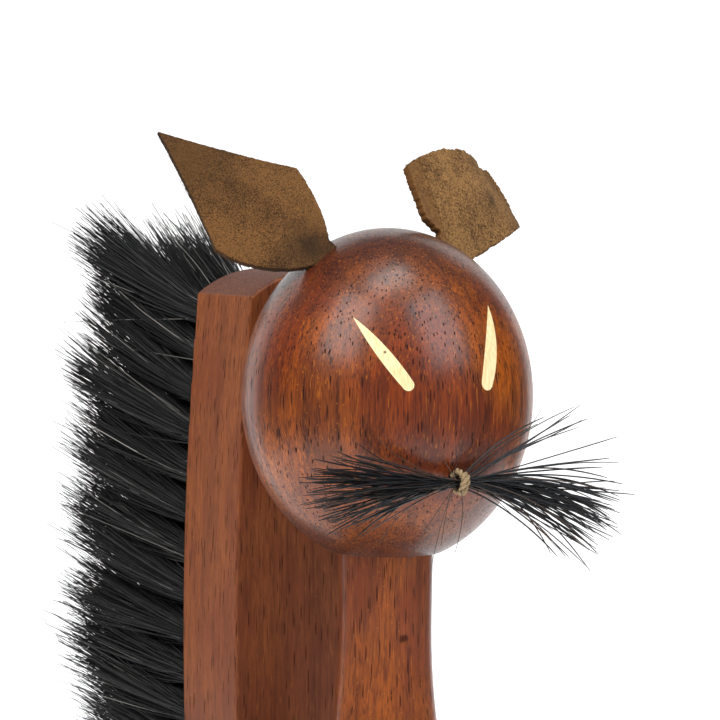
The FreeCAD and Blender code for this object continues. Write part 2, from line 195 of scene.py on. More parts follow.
def softbox(name, direction, width, height, power, tint=(1.0, 1.0, 1.0)):
    """A flat lamp a metre from the head's middle, facing it from a direction."""
    lamp = bpy.data.objects.new(name, bpy.data.lights.new(name, "AREA"))
    lamp.data.shape = "RECTANGLE"
    lamp.data.size = width
    lamp.data.size_y = height
    lamp.data.energy = power
    lamp.data.color = tint
    bpy.context.scene.collection.objects.link(lamp)
    away = np.array(direction) / np.linalg.norm(direction)
    helper = UP if abs(away[2]) < 0.9 else BACKWARD
    across = np.cross(helper, away)
    axes = square_axes(across, np.cross(away, across))
    lamp.matrix_world = placed(axes, head_centre + away)


make_camera()
softbox("softbox_over", (-0.07, -0.165, 1.0), width=0.52, height=0.30, power=3.2)
softbox("softbox_left", (-0.700, -0.190, 0.660), width=0.52, height=0.74, power=6.8)
softbox("softbox_front", (0.245, -0.700, 0.620), width=0.56, height=0.80, power=6.6,
        tint=(0.90, 0.95, 1.0))
bpy.context.scene.view_settings.view_transform = "Standard"


# ---------------------------------------------------------------- finishes
def srgb(red, green, blue):
    """A colour from its display values, 0 to 255, as the linear colour a shader takes."""
    shares = np.array([red, green, blue]) / 255
    linear = np.where(shares <= 0.04045, shares / 12.92, ((shares + 0.055) / 1.055) ** 2.4)
    return (*linear.tolist(), 1.0)


# the Mix node's sockets by number when it mixes colours, since several share one name
MIX_SHARE, MIX_FIRST, MIX_SECOND, MIX_COLOUR = 0, 6, 7, 2


class Value:
    """A number that varies over a surface. Arithmetic on it adds the Math nodes."""

    def __init__(self, finish, socket):
        self.finish, self.socket = finish, socket

    def maths(self, operation, *others):
        return self.finish.value("ShaderNodeMath", {"operation": operation}, [self, *others])

    def reflected(self, operation, other):
        return self.finish.value("ShaderNodeMath", {"operation": operation}, [other, self])

    def __add__(self, other):
        return self.maths("ADD", other)

    __radd__ = __add__

    def __mul__(self, other):
        return self.maths("MULTIPLY", other)

    __rmul__ = __mul__

    def __sub__(self, other):
        return self.maths("SUBTRACT", other)

    def __rsub__(self, other):
        return self.reflected("SUBTRACT", other)

    def __truediv__(self, other):
        return self.maths("DIVIDE", other)

    def __pow__(self, other):
        return self.maths("POWER", other)

    def larger(self, other):
        return self.maths("MAXIMUM", other)

    def from_to(self, low, high):
        """0 below low, 1 above high and a smooth step between. low above high turns it round."""
        settings = {"interpolation_type": "SMOOTHSTEP", "clamp": True}
        turned = low > high
        ends = (high, low) if turned else (low, high)
        places = {"Value": self, "From Min": ends[0], "From Max": ends[1],
                  "To Min": float(turned), "To Max": float(not turned)}
        return self.finish.value("ShaderNodeMapRange", settings, places, "Result")


class Finish:
    """A procedural material. Lengths in its patterns are millimetres of the part's own frame."""

    def __init__(self, name):
        self.material = bpy.data.materials.new(name)
        self.material.use_nodes = True
        self.tree = self.material.node_tree
        self.tree.nodes.clear()
        place = self.node("ShaderNodeTexCoord").outputs["Object"]
        self.place = self.vector("SCALE", place, Scale=1000.0)

    def node(self, kind, settings=None, inputs=()):
        made = self.tree.nodes.new(kind)
        for setting, value in (settings or {}).items():
            setattr(made, setting, value)
        pairs = inputs.items() if isinstance(inputs, dict) else enumerate(inputs)
        for socket, value in pairs:
            if isinstance(value, Value):
                value = value.socket
            if isinstance(value, bpy.types.NodeSocket):
                self.tree.links.new(value, made.inputs[socket])
            else:
                made.inputs[socket].default_value = value
        return made

    def value(self, kind, settings, inputs, output=0):
        return Value(self, self.node(kind, settings, inputs).outputs[output])

    def vector(self, operation, first, second=None, **named):
        inputs = {0: first, **named}
        if second is not None:
            inputs[1] = second
        return self.node("ShaderNodeVectorMath", {"operation": operation}, inputs).outputs["Vector"]

    def stretched(self, scales, shift=(0, 0, 0)):
        """The place in millimetres, moved by shift and then multiplied along each axis."""
        moved = self.vector("ADD", self.place, shift)
        return self.vector("MULTIPLY", moved, scales)

    def noise(self, place, scale=1.0, detail=2.0, roughness=0.5, distortion=0.0):
        inputs = {"Vector": place, "Scale": scale, "Detail": detail, "Roughness": roughness,
                  "Distortion": distortion}
        return self.value("ShaderNodeTexNoise", {"noise_dimensions": "3D"}, inputs)

    def specks(self, place, scale=1.0, randomness=1.0):
        """Distance to the nearest of many scattered points, and a random colour for that point."""
        inputs = {"Vector": place, "Scale": scale, "Randomness": randomness}
        made = self.node("ShaderNodeTexVoronoi", {"feature": "F1"}, inputs)
        split = self.node("ShaderNodeSeparateColor", {}, [made.outputs["Color"]])
        return Value(self, made.outputs["Distance"]), Value(self, split.outputs[0])

    def distance(self, point):
        made = self.node("ShaderNodeVectorMath", {"operation": "DISTANCE"}, [self.place, point])
        return Value(self, made.outputs["Value"])

    def part(self, axis):
        made = self.node("ShaderNodeSeparateXYZ", {}, [self.place])
        return Value(self, made.outputs[axis])

    def attribute(self, name):
        made = self.node("ShaderNodeAttribute", {"attribute_name": name})
        return Value(self, made.outputs["Fac"])

    def blend(self, share, first, second):
        """The first colour where share is 0 and the second where it is 1."""
        settings = {"data_type": "RGBA", "blend_type": "MIX", "clamp_factor": True}
        inputs = {MIX_SHARE: share, MIX_FIRST: first, MIX_SECOND: second}
        return self.node("ShaderNodeMix", settings, inputs).outputs[MIX_COLOUR]

    def relief(self, height, depth, strength=1.0):
        """A bump: height runs from 0 to 1 over a depth in millimetres."""
        inputs = {"Strength": strength, "Distance": depth * MM, "Height": height}
        return self.node("ShaderNodeBump", {}, inputs).outputs["Normal"]

    def surface(self, colour, roughness, normal=None, **constants):
        inputs = {"Base Color": colour, "Roughness": roughness}
        if normal is not None:
            inputs["Normal"] = normal
        for name, value in constants.items():
            inputs[name.replace("_", " ")] = value
        shader = self.node("ShaderNodeBsdfPrincipled", {}, inputs)
        self.node("ShaderNodeOutputMaterial", {}, [shader.outputs["BSDF"]])
        return self.material


RING_PITCH = 2.6            # growth rings, in millimetres, and how far noise pushes them
RING_WOBBLE = 14.0
PORE_DEPTH = 0.13
WARM_FADE = (24.0, 10.0)    # distances at which the warm patch has gone and is full
SCAR_FADE = (1.9, 1.3)


def teak(name, light, middle, dark, glint, pith, contrast=1.0, gloss=0.75, scar=None, warm=None):
    """Oiled and lacquered teak with its grain along Z. Growth rings are cylinders about a pith,
    pushed about by noise. Open pores are thin upright capsules scattered through the wood, so they
    show as dots on top and as short streaks on the sides."""
    wood = Finish(name)
    deep = tuple(channel * 0.30 for channel in dark[:3]) + (1.0,)
    end_grain = tuple(channel * 0.6 for channel in dark[:3]) + (1.0,)
    wobble = wood.noise(wood.stretched((0.05, 0.05, 0.010), pith), 1.0, 2.0)
    x, y = wood.part("X") + pith[0], wood.part("Y") + pith[1]
    ring = ((x * x + y * y) ** 0.5 + wobble * RING_WOBBLE) / RING_PITCH
    ring = ring.maths("FRACT")
    late = ring.from_to(0.15, 1.0) * ring.from_to(1.0, 0.90)
    fibre = wood.noise(wood.stretched((4.2, 4.2, 0.26), pith), 1.0, 3.0, 0.7)
    streak = wood.noise(wood.stretched((1.25, 1.25, 0.075), pith), 1.0, 3.0, 0.6, 0.5)
    broad = wood.noise(wood.stretched((0.30, 0.30, 0.020), pith), 1.0, 2.0)
    figure = wood.noise(wood.stretched((0.07, 0.07, 0.05), pith), 1.0, 2.0)
    near, chance = wood.specks(wood.stretched((1.8, 1.8, 0.15), pith))
    pores = near.from_to(0.30, 0.18) * chance.from_to(0.35, 0.55)
    fine_near, fine_chance = wood.specks(wood.stretched((1.7, 1.7, 0.07), (3, 8, 1)))
    vessels = fine_near.from_to(0.21, 0.10) * fine_chance.from_to(0.35, 0.5)
    colour = wood.blend(figure.from_to(0.40, 0.62), light, middle)
    if warm:
        glow = wood.distance(warm) + broad * 14.0
        colour = wood.blend(glow.from_to(*WARM_FADE) * 0.8, colour, light)
    colour = wood.blend(broad.from_to(0.42, 0.66) * (0.50 * contrast), colour, dark)
    colour = wood.blend(late * (0.30 * contrast), colour, dark)
    colour = wood.blend(fibre.from_to(0.40, 0.72) * (0.85 * contrast), colour, dark)
    colour = wood.blend(streak.from_to(0.54, 0.66) * (0.75 * contrast), colour, dark)
    facing = wood.node("ShaderNodeNewGeometry").outputs["Normal"]
    facing = wood.node("ShaderNodeSeparateXYZ", {}, [facing])
    upright = Value(wood, facing.outputs["Z"]).maths("ABSOLUTE")
    colour = wood.blend(upright.from_to(0.30, 1.0) * 0.85, colour, end_grain)
    # Painted glints: fine pale streaks blended towards the glint colour stand for light caught by
    # the grain.
    pale = wood.noise(wood.stretched((2.6, 2.6, 0.22), (9, 4, 2)), 1.0, 2.0)
    colour = wood.blend(pale.from_to(0.60, 0.74) * 0.45, colour, glint)
    holes = pores.larger(vessels * 0.7)
    colour = wood.blend(holes * (0.85 * contrast), colour, deep)
    if scar:
        spot = wood.distance(scar) + wood.noise(wood.stretched((1.5, 1.5, 0.5)), 1.0, 2.0) * 1.6
        mark = spot.from_to(*SCAR_FADE)
        colour = wood.blend(mark * 0.8, colour, deep)
        holes = holes.larger(mark)
    # Painted glints: short light dashes in rows, in the glint colour, where the figure noise
    # allows.
    dashes, dash_chance = wood.specks(wood.stretched((1.5, 1.5, 0.85), (4, 6, 2)), 1.0, 0.75)
    glint_dashes = dashes.from_to(0.20, 0.10) * dash_chance.from_to(0.45, 0.6)
    glint_dashes = glint_dashes * figure.from_to(0.62, 0.50)
    colour = wood.blend(glint_dashes * 0.6, colour, glint)
    rough = 0.56 - 0.18 * gloss + fibre * 0.12 + holes * 0.35
    rough = rough + upright.from_to(0.6, 1.0) * (0.3 - 0.3 * gloss)
    height = 1.0 - holes * 0.9 + fibre * 0.45 + streak * 0.15
    normal = wood.relief(height, PORE_DEPTH)
    return wood.surface(colour, rough, normal, Specular_IOR_Level=0.24,
                        Coat_Weight=gloss - holes * (gloss * 0.95), Coat_Roughness=0.25)


def eye_inlay():
    """Pale close-grained wood, rubbed smooth, with a few thin grain lines and one dark speck."""
    wood = Finish("eye_inlay")
    grain = wood.noise(wood.stretched((2.5, 2.5, 0.35)), 1.0, 3.0)
    colour = wood.blend(grain.from_to(0.35, 0.7), srgb(252, 232, 180), srgb(240, 209, 148))
    speck = wood.distance(EYE_SPECK).from_to(0.34, 0.18)
    colour = wood.blend(speck * 0.8, colour, srgb(60, 35, 20))
    return wood.surface(colour, 0.42 + grain * 0.12, wood.relief(grain, 0.02, 0.5))


def suede(name, light, dark, stain, stain_place, stain_size, grain_size, contrast, tip, edge):
    """Undyed suede: a short felted nap, mottled at two sizes, darker towards its tip, with a stain
    and dark cut edges, and painted shade on the left ear's curled-back strip and along its crease."""
    skin = Finish(name)
    fine = 1.0 / grain_size
    nap = skin.noise(skin.stretched((fine, fine, fine)), 1.0, 4.0, 0.65, 0.6)
    tufted = skin.noise(skin.stretched((fine * 0.35,) * 3, (7, 3, 1)), 1.0, 3.0, 0.6, 0.8)
    cloud = skin.noise(skin.stretched((0.13, 0.13, 0.13), (2, 5, 9)), 1.0, 3.0, 0.55)
    shade = (nap - 0.5) * (2.2 * contrast) + (tufted - 0.5) * (0.6 * contrast)
    shade = shade + (cloud - 0.5) * 0.8 + 0.5
    colour = skin.blend(shade.from_to(0.1, 0.9), dark, light)
    handled = skin.distance(tip) + cloud * 10.0
    colour = skin.blend(handled.from_to(24.0, 12.0) * 0.45, colour, dark)
    far = skin.distance(stain_place) + cloud * stain_size * 1.2 + nap * stain_size * 0.25
    colour = skin.blend(far.from_to(stain_size * 2.2, stain_size * 0.8) * 0.8, colour, stain)
    # Painted shade: the left ear's curled-back inner strip is darkened towards the edge colour and
    # a darker painted line follows its crease; the noise added to strip spreads both faintly in
    # patches.
    strip = skin.attribute("strip") + (cloud - 0.5) * 0.8 + (tufted - 0.5) * 0.5
    colour = skin.blend(strip.from_to(0.35, 0.9) * 0.5, colour, edge)
    crease = strip.from_to(0.05, 0.3) * strip.from_to(0.6, 0.35)
    colour = skin.blend(crease * 0.45, colour, dark)
    rim = skin.attribute("rim")
    colour = skin.blend(rim.from_to(0.25, 0.95) * 0.75, colour, edge)
    height = nap * 0.7 + tufted * 0.5
    return skin.surface(colour, 0.85 + nap * 0.12, skin.relief(height, 0.35, 0.9),
                        Sheen_Weight=0.04, Sheen_Roughness=0.5, Specular_IOR_Level=0.12)


def hair_finish(name, dark, glint, pale, roughness):
    """Bristle: near black with a slow change of tone along it towards a lighter painted sheen, and
    a pale hair here and there.
    """
    hair = Finish(name)
    shade = hair.attribute("shade")
    tone = hair.noise(hair.stretched((0.6, 0.6, 0.6)), 1.0, 3.0)
    # The lighter glint colour is a painted sheen.
    colour = hair.blend(tone.from_to(0.4, 0.75) * 0.8, dark, glint)
    colour = hair.blend(shade, colour, pale)
    fine = hair.noise(hair.stretched((8.0, 8.0, 8.0)), 1.0, 2.0)
    return hair.surface(colour, roughness + fine * 0.15, hair.relief(fine, 0.01, 0.4))


def twine_finish():
    """Undyed cotton twine: fine fibres along the strands, and darker patches at random, painted
    shade for where the strands lie together.
    """
    yarn = Finish("twine")
    fibre = yarn.noise(yarn.stretched((6.0, 6.0, 6.0)), 1.0, 4.0, 0.65, 0.8)
    cloud = yarn.noise(yarn.stretched((0.9, 0.9, 0.9)), 1.0, 2.0)
    colour = yarn.blend(fibre.from_to(0.3, 0.7), srgb(104, 80, 52), srgb(196, 168, 128))
    # Painted shade: random darker patches stand for the shade where the strands lie together.
    colour = yarn.blend(cloud.from_to(0.5, 0.8) * 0.5, colour, srgb(80, 58, 34))
    return yarn.surface(colour, 0.8 + fibre * 0.15, yarn.relief(fibre, 0.08, 0.9))


def felt_finish():
    """Pressed green wool felt: matted short fibres, slightly uneven in tone."""
    wool = Finish("felt")
    mat = wool.noise(wool.stretched((3.5, 3.5, 3.5)), 1.0, 5.0, 0.7, 1.2)
    cloud = wool.noise(wool.stretched((0.12, 0.12, 0.12)), 1.0, 2.0)
    colour = wool.blend(mat.from_to(0.3, 0.7), srgb(34, 58, 40), srgb(62, 92, 64))
    colour = wool.blend(cloud.from_to(0.4, 0.7) * 0.4, colour, srgb(45, 70, 48))
    return wool.surface(colour, 0.9 + mat * 0.08, wool.relief(mat, 0.25, 0.9),
                        Sheen_Weight=0.2, Sheen_Roughness=0.5, Specular_IOR_Level=0.2)


def metal(name, bright, dull, roughness, turning):
    """Metal with fine turning marks about the screw's or disc's axis and faint tarnish."""
    piece = Finish(name)
    marks = piece.noise(piece.stretched(turning), 1.0, 3.0, 0.6)
    tarnish = piece.noise(piece.stretched((0.5, 0.5, 0.5)), 1.0, 3.0)
    colour = piece.blend(tarnish.from_to(0.45, 0.8) * 0.3, bright, dull)
    rough = roughness + marks * 0.15 + tarnish * 0.10
    return piece.surface(colour, rough, piece.relief(marks, 0.02, 0.5), Metallic=1.0)


def beech():
    """Pale beech dowel with short dark flecks and fine lengthwise fibres."""
    wood = Finish("beech")
    fibre = wood.noise(wood.stretched((3.0, 3.0, 0.12)), 1.0, 3.0)
    near, _ = wood.specks(wood.stretched((1.6, 1.6, 0.45)))
    colour = wood.blend(fibre.from_to(0.3, 0.75), srgb(214, 178, 132), srgb(186, 146, 100))
    colour = wood.blend(near.from_to(0.2, 0.1) * 0.6, colour, srgb(140, 98, 62))
    return wood.surface(colour, 0.55 + fibre * 0.12, wood.relief(fibre, 0.04, 0.6))


def lacquer():
    """A bead of amber lacquer, thicker and darker in places."""
    bead = Finish("lacquer")
    pool = bead.noise(bead.stretched((0.9, 0.9, 2.0)), 1.0, 2.0)
    colour = bead.blend(pool.from_to(0.35, 0.7), srgb(214, 120, 40), srgb(150, 62, 22))
    return bead.surface(colour, 0.18 + pool * 0.12, bead.relief(pool, 0.05, 0.5))


FLOOR_GLOW = 0.35           # lifts the shade that the drapes throw on the floor


def floor_finish():
    """Matt white studio sweep with the faintest tooth."""
    sweep = Finish("studio_sweep")
    tooth = sweep.noise(sweep.stretched((0.4, 0.4, 0.4)), 1.0, 2.0)
    colour = sweep.blend(tooth, srgb(248, 248, 248), srgb(244, 244, 244))
    return sweep.surface(colour, 0.9 + tooth * 0.05, sweep.relief(tooth, 0.02, 0.2),
                         Specular_IOR_Level=0.1, Emission_Color=(1.0, 1.0, 1.0, 1.0),
                         Emission_Strength=FLOOR_GLOW)


def drape_finish():
    """Dull dark cloth."""
    cloth = Finish("drape")
    weave = cloth.noise(cloth.stretched((0.2, 0.2, 0.2)), 1.0, 2.0)
    colour = cloth.blend(weave, srgb(48, 48, 48), srgb(58, 58, 58))
    return cloth.surface(colour, 0.95, Specular_IOR_Level=0.1)


EYE_SPECK = (-14.1, -21.5, 134.9)    # millimetres in the part's frame
NECK_SCAR = (-1.4, -8.6, 81.4)

finish = {
    "teak_head": teak("teak_head", srgb(176, 86, 6), srgb(138, 55, 6), srgb(64, 22, 6),
                      srgb(205, 114, 14), (31.0, 46.0, 5.0), gloss=0.68,
                      warm=tuple(on_head(-62, -12)[0] / MM)),
    "teak_body": teak("teak_body", srgb(159, 80, 19), srgb(138, 62, 15), srgb(84, 34, 11),
                      srgb(190, 106, 30), (52.0, 30.0, 60.0), 0.9, 0.6, NECK_SCAR),
    "teak_block": teak("teak_block", srgb(149, 82, 40), srgb(137, 71, 36), srgb(93, 43, 20),
                       srgb(168, 98, 46), (64.0, -12.0, 25.0), 0.75, 0.12),
    "teak_base": teak("teak_base", srgb(170, 90, 38), srgb(150, 74, 32), srgb(98, 43, 22),
                      srgb(186, 112, 56), (90.0, 70.0, 0.0), 0.9, 0.5),
    "eye_inlay": eye_inlay(),
    "ear_right": suede("ear_right", srgb(140, 97, 54), srgb(54, 35, 18), srgb(32, 24, 19),
                       on_ear(-1, -0.2, 2.4), 6.0, 0.20, 1.05, on_ear(-1, 9.0, 34.0),
                       srgb(34, 22, 12)),
    "ear_left": suede("ear_left", srgb(164, 121, 72), srgb(74, 47, 22), srgb(66, 47, 34),
                      on_ear(1, 2.0, 20.0), 1.6, 0.38, 0.95, on_ear(1, -6.0, 34.0),
                      srgb(106, 68, 34)),
    "bristle": hair_finish("bristle", srgb(6, 6, 6), srgb(18, 18, 18), srgb(180, 176, 168), 0.5),
    "whisker": hair_finish("whisker", srgb(8, 9, 12), srgb(22, 25, 34), srgb(104, 78, 60), 0.32),
    "twine": twine_finish(),
    "felt": felt_finish(),
    "steel": metal("steel", srgb(196, 196, 198), srgb(120, 116, 112), 0.28, (4.0, 0.4, 4.0)),
    "magnet_plating": metal("magnet_plating", srgb(205, 205, 208), srgb(150, 150, 152), 0.20,
                            (3.0, 0.3, 3.0)),
    "anchor_wire": metal("anchor_wire", srgb(190, 186, 176), srgb(110, 100, 88), 0.32,
                         (0.5, 6.0, 6.0)),
    "beech": beech(),
    "lacquer": lacquer(),
    "floor": floor_finish(),
    "drape": drape_finish(),
}


# ---------------------------------------------------------------- meshes from arrays
def make_mesh(name, points, faces, smooth=True, attributes=None):
    """A mesh object from an array of points and a list of index arrays, one array per face size."""
    mesh = bpy.data.meshes.new(name)
    sizes = np.concatenate([np.full(len(group), group.shape[1]) for group in faces])
    corners = np.concatenate([group.ravel() for group in faces])
    starts = np.concatenate([[0], np.cumsum(sizes)[:-1]])
    mesh.vertices.add(len(points))
    mesh.vertices.foreach_set("co", np.asarray(points, np.float32).ravel())
    mesh.loops.add(len(corners))
    mesh.loops.foreach_set("vertex_index", corners.astype(np.int32))
    mesh.polygons.add(len(sizes))
    mesh.polygons.foreach_set("loop_start", starts.astype(np.int32))
    mesh.polygons.foreach_set("use_smooth", np.full(len(sizes), smooth))
    for attribute, values in (attributes or {}).items():
        made = mesh.attributes.new(attribute, "FLOAT", "POINT")
        made.data.foreach_set("value", np.asarray(values, np.float32).ravel())
    mesh.update(calc_edges=True)
    mesh.validate()
    made = bpy.data.objects.new(name, mesh)
    bpy.context.scene.collection.objects.link(made)
    return made


def add_piece(name, points, faces, body, slot, material, replaced=(), **details):
    piece = make_mesh(name, points, faces, **details)
    piece.data.materials.append(material)
    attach(piece, body)
    if replaced:
        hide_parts(*replaced)
    return piece


def grid_faces(rows, columns, rows_close=False, columns_close=False):
    """Four-sided faces over a grid of points, joined up across its ends where asked."""
    row, column = np.meshgrid(np.arange(rows - (not rows_close)),
                              np.arange(columns - (not columns_close)), indexing="ij")
    ahead, beside = (row + 1) % rows, (column + 1) % columns
    return np.stack([row * columns + column, row * columns + beside,
                     ahead * columns + beside, ahead * columns + column], -1).reshape(-1, 4)


def capped_tube(rings, around):
    """Faces of rings of points one after another with a pole at either end, which follow the
    rings in the list of points: the sides, and the two fans."""
    column = np.arange(around)
    beside = (column + 1) % around
    first_pole, last_ring = rings * around, (rings - 1) * around
    start = np.stack([np.full(around, first_pole), beside, column], -1)
    end = np.stack([np.full(around, first_pole + 1), last_ring + column, last_ring + beside], -1)
    return grid_faces(rings, around, columns_close=True), np.concatenate([start, end])


def shell(rings, first_pole, last_pole):
    """A closed surface: rings of points one after another, each closed on itself, and a pole at
    either end. Returns its points and faces."""
    count, around = rings.shape[:2]
    points = np.concatenate([rings.reshape(-1, 3), [first_pole], [last_pole]])
    return points, list(capped_tube(count, around))


def strands(paths, radii, sides=3):
    """Many closed tapered rods: a small ring of points round each station of each path, and a
    point at either end. paths is (rods, stations, 3), radii is (rods, stations). Also returns how
    many points one rod has."""
    rods, stations = paths.shape[:2]
    along = np.gradient(paths, axis=1)
    along /= np.linalg.norm(along, axis=2, keepdims=True)
    helper = np.where(np.abs(along[:, :1, 2:]) < 0.8, UP, BACKWARD)
    first = np.cross(along, helper)
    first /= np.linalg.norm(first, axis=2, keepdims=True)
    second = np.cross(along, first)
    turn = 2 * np.pi * np.arange(sides) / sides
    rings = (paths[:, :, None, :]
             + radii[:, :, None, None] * (np.cos(turn)[:, None] * first[:, :, None, :]
                                          + np.sin(turn)[:, None] * second[:, :, None, :]))
    ends = np.stack([paths[:, 0] - along[:, 0] * radii[:, :1],
                     paths[:, -1] + along[:, -1] * radii[:, -1:]], 1)
    points = np.concatenate([rings.reshape(rods, -1, 3), ends], 1)
    per_rod = stations * sides + 2
    shift = (np.arange(rods) * per_rod)[:, None, None]
    faces = [(group[None] + shift).reshape(-1, group.shape[1])
             for group in capped_tube(stations, sides)]
    return points.reshape(-1, 3), faces, per_rod


def bent(start, pull, end, stations, wave, rng):
    """Paths from start to end that leave towards pull: a quadratic curve, with a slow sideways
    wave of its own on each path."""
    t = np.linspace(0, 1, stations)[None, :, None]
    start, pull, end = start[:, None], pull[:, None], end[:, None]
    path = (1 - t) ** 2 * start + 2 * t * (1 - t) * pull + t**2 * end
    phase = rng.uniform(0, 2 * np.pi, (len(path), 1, 3))
    pace = rng.uniform(0.6, 1.6, (len(path), 1, 3))
    swing = rng.normal(0, 1, (len(path), 1, 3)) * wave
    return path + swing * t * np.sin(phase + np.pi * pace * t)


# ---------------------------------------------------------------- ears
def leaf_outline(outline, spacing):
    """Points round a leaf: straight from corner to corner with a parabola's swell, then down into
    the slot and back. Returns an array of (along, out)."""
    corners = np.array([corner for corner, _ in outline], float)
    swells = [swell for _, swell in outline]
    first, last = corners[0], corners[-1]
    tucked = ((last[0], -EAR_TUCK), (first[0] - EAR_TUCK_TAPER, -EAR_TUCK))
    stops = [*corners, *map(np.array, tucked)]
    swells = [*swells[:-1], 0.0, 0.0, 0.0]
    middle = corners.mean(0)
    runs = []
    for number, start in enumerate(stops):
        end = stops[(number + 1) % len(stops)]
        chord = end - start
        outward = np.array([chord[1], -chord[0]]) / np.linalg.norm(chord)
        if outward.dot((start + end) / 2 - middle) < 0:
            outward = -outward
        count = max(3, int(np.linalg.norm(chord) / spacing))
        t = (np.arange(count) / count)[:, None]
        runs.append(start + chord * t + outward * 4 * t * (1 - t) * swells[number])
    return np.concatenate(runs)


def smooth_noise(count, waves, rng):
    """A closed wandering line: sines of 1 to waves turns with random size and phase."""
    turn = 2 * np.pi * np.arange(count) / count
    order = np.arange(1, waves + 1)[:, None]
    size = rng.normal(0, 1, (waves, 1))
    phase = rng.uniform(0, 2 * np.pi, (waves, 1))
    line = (size * np.sin(order * turn + phase)).sum(0)
    return line / np.abs(line).max()


def no_strip(place):
    return np.zeros(len(place))


def inner_strip(place):
    """1 along the inner edge of the left ear, down to 0 from 2.6 to 4.2 mm in from it."""
    inward = (place[:, 1] + 1.6) * 0.821 - (place[:, 0] - 9.0) * 0.571
    return np.clip((4.2 - inward) / 1.6, 0, 1)


EDGE_SPACING = 0.16         # between points along a leaf's edge, in millimetres
EDGE_FIBRES = 420


def leather_leaf(name, side, outline, bend, strip, ragged, material, rng):
    """A leather leaf: rings of points run from the middle of its front out to the cut edge, over
    the edge and back to the middle of its back. bend gives how far a place stands off the plane."""
    root, along, out, face = ear_plane(side)
    edge = leaf_outline(outline, EDGE_SPACING)
    count = len(edge)
    centre = edge[edge[:, 1] > 0].mean(0)
    spokes = edge - centre
    reach = np.linalg.norm(spokes, axis=1, keepdims=True)
    rough = smooth_noise(count, 90, rng) * ragged + rng.normal(0, ragged * 0.35, count)
    edge = edge + spokes / reach * rough[:, None]
    half = EAR_THICKNESS / 2
    inside = np.linspace(0.03, 1.0, 34) ** 0.8
    steps = [(share, 1.0, 0.0) for share in inside[:-1]]
    steps += [(0.994, 1.0, 0.3), (1.0, 0.75, 0.9), (1.004, 0.2, 1.0), (1.003, -0.3, 1.0),
              (1.0, -0.8, 0.9), (0.994, -1.0, 0.3)]
    steps += [(share, -1.0, 0.0) for share in inside[:-1][::-1]]
    rings, rims, strips = [], [], []
    fray = 1 + 0.25 * smooth_noise(count, 60, rng)
    for share, level, rim in steps:
        flat = centre + (edge - centre) * share
        lift = bend(flat) + level * half * (fray if abs(level) < 1 else 1.0)
        ring = root + (along * flat[:, :1] + out * flat[:, 1:] + face * lift[:, None]) * MM
        rings.append(ring)
        rims.append(np.full(count, rim))
        strips.append(strip(flat))
    poles = []
    for level in (1, -1):
        lift = bend(centre[None])[0] + level * half
        poles.append(root + (along * centre[0] + out * centre[1] + face * lift) * MM)
    points, faces = shell(np.array(rings), *poles)
    if np.dot(np.cross(along, out), face) * turning(edge) < 0:
        faces = [group[:, ::-1] for group in faces]
    rims = np.concatenate([*rims, [0, 0]])
    strips = np.concatenate([*strips, [0, 0]])
    add_piece(name + "_leaf", points, faces, "stand", "ear_leather", material, (name,),
              attributes={"rim": rims, "strip": strips})
    nap(name, np.array(rings), len(inside) - 1, face, material, rng)


def turning(outline):
    """Twice the signed area of an outline: positive when it runs anticlockwise."""
    ahead = np.roll(outline, -1, 0)
    return float((outline[:, 0] * ahead[:, 1] - outline[:, 1] * ahead[:, 0]).sum())


def nap(name, rings, edge_ring, face, material, rng):
    """Loose fibres: short ones along the cut edge, leaning outward."""
    edge, inner = rings[edge_ring + 2], rings[edge_ring - 2]
    count = EDGE_FIBRES
    pick = rng.integers(0, len(edge), count)
    start = edge[pick] + face * rng.uniform(-0.6, 0.6, (count, 1)) * MM
    outward = edge[pick] - inner[pick]
    outward /= np.linalg.norm(outward, axis=1, keepdims=True)
    side = rng.normal(0, 0.7, (count, 3))
    length = rng.gamma(2.0, 0.17, (count, 1)) * MM
    end = start + (outward + side) * length
    pull = start + outward * length * 0.6
    paths = bent(start - outward * 0.1 * MM, pull, end, 4, 0.05 * MM, rng)
    radii = np.full((count, 4), 0.022 * MM) * np.array([1.0, 0.9, 0.7, 0.4])
    points, faces, per_rod = strands(paths, radii)
    add_piece(name + "_fibres", points, faces, "stand", "ear_leather", material,
              attributes={"rim": np.zeros(len(points)), "strip": np.zeros(len(points))})


def right_ear_bend(place):
    """Flat but for a slight bow across the leaf, and the low edge curling forward at the root."""
    a, o = place[:, 0], place[:, 1]
    bow = -0.9 * ((a - 2) / 10) ** 2
    tip = -0.9 * np.clip((o - 20) / 17, 0, 1) ** 2
    curl = 1.3 * np.clip((-a - 1.0) / 7, 0, 1) ** 2 * np.clip(1 - o / 22, 0, 1)
    return (bow + tip + curl) * np.clip(o / 6, 0, 1)


def left_ear_bend(place):
    """A crease a few millimetres in from the inner edge, behind which the edge curls back, and a
    soft hollow beside it."""
    a, o = place[:, 0], place[:, 1]
    curl = -0.35 * inner_strip(place) - 0.5 * np.clip((a - 12.5) / 5.5, 0, 1) ** 1.3
    pad = 0.9 * np.exp(-((a - 6) / 5) ** 2 - ((o - 13) / 9) ** 2)
    tip = -1.4 * np.clip((o - 18) / 8, 0, 1) ** 2
    return (curl + pad + tip) * np.clip((o + 2) / 4, 0, 1)


rng = np.random.default_rng(7)
leather_leaf("ear_right", -1, RIGHT_EAR_OUTLINE, right_ear_bend, no_strip, 0.10,
             finish["ear_right"], rng)
leather_leaf("ear_left", 1, LEFT_EAR_OUTLINE, left_ear_bend, inner_strip, 0.26,
             finish["ear_left"], rng)


